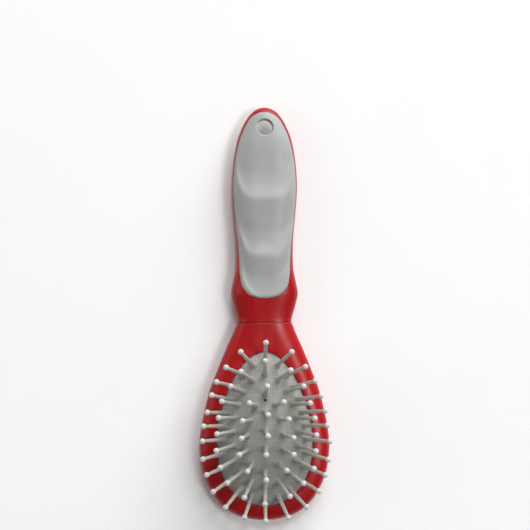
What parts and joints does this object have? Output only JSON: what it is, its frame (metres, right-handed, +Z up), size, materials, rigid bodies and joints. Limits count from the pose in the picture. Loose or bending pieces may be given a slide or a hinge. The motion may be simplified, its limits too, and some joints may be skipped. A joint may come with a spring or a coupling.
{
  "type": "bristle brush",
  "caption": "Hand-held pin brush for dogs: an egg-shaped head with ball-tipped pins on a domed air cushion, and a handle with a scalloped soft grip and a hanging hole.",
  "frame": {"origin": "below the middle of the whole brush, on the surface that it lies on with its pins up", "axes": "+Y along the brush to the end with the hanging hole, +X across it, +Z up, the way the pins point"},
  "size_m": [0.0692, 0.22, 0.0459],
  "materials": {
    "red_plastic": "satin moulded plastic",
    "grey_grip": "matt soft-touch",
    "cushion_face": "woven facing on rubber",
    "pin_plastic": "smooth nylon"
  },
  "bodies": {
    "root": {"cushion_pad": "cushion_face", "front_grip": "grey_grip", "handle_back_shell": "red_plastic", "handle_front_shell": "red_plastic", "head_back_shell": "red_plastic", "head_front_frame": "red_plastic"},
    "centre_pins": {"centre_pins_01": "pin_plastic", "centre_pins_02": "pin_plastic"},
    "inner_pins": {"inner_pins_01": "pin_plastic", "inner_pins_02": "pin_plastic", "inner_pins_03": "pin_plastic", "inner_pins_04": "pin_plastic", "inner_pins_05": "pin_plastic", "inner_pins_06": "pin_plastic"},
    "middle_pins": {"middle_pins_01": "pin_plastic", "middle_pins_02": "pin_plastic", "middle_pins_03": "pin_plastic", "middle_pins_04": "pin_plastic", "middle_pins_05": "pin_plastic", "middle_pins_06": "pin_plastic", "middle_pins_07": "pin_plastic", "middle_pins_08": "pin_plastic", "middle_pins_09": "pin_plastic", "middle_pins_10": "pin_plastic"},
    "outer_pins": {"outer_pins_01": "pin_plastic", "outer_pins_02": "pin_plastic", "outer_pins_03": "pin_plastic", "outer_pins_04": "pin_plastic", "outer_pins_05": "pin_plastic", "outer_pins_06": "pin_plastic", "outer_pins_07": "pin_plastic", "outer_pins_08": "pin_plastic", "outer_pins_09": "pin_plastic", "outer_pins_10": "pin_plastic", "outer_pins_11": "pin_plastic", "outer_pins_12": "pin_plastic", "outer_pins_13": "pin_plastic"}
  },
  "joints": [
    {"name": "centre_pins_press", "type": "slide", "parent": "root", "child": "centre_pins", "axis": [0, 0, -1], "range_m": [0, 0.0025], "stiffness_N_per_m": 1500, "deforming": ["cushion_pad"]},
    {"name": "inner_pins_press", "type": "slide", "parent": "root", "child": "inner_pins", "axis": [0, 0, -1], "range_m": [0, 0.0023], "stiffness_N_per_m": 500},
    {"name": "middle_pins_press", "type": "slide", "parent": "root", "child": "middle_pins", "axis": [0, 0, -1], "range_m": [0, 0.0017], "stiffness_N_per_m": 500},
    {"name": "outer_pins_press", "type": "slide", "parent": "root", "child": "outer_pins", "axis": [0, 0, -1], "range_m": [0, 0.0009], "stiffness_N_per_m": 500}
  ],
  "couplings": [
    {"joint": "inner_pins_press", "follows": "centre_pins_press", "ratio": 0.92},
    {"joint": "middle_pins_press", "follows": "centre_pins_press", "ratio": 0.68},
    {"joint": "outer_pins_press", "follows": "centre_pins_press", "ratio": 0.36}
  ]
}
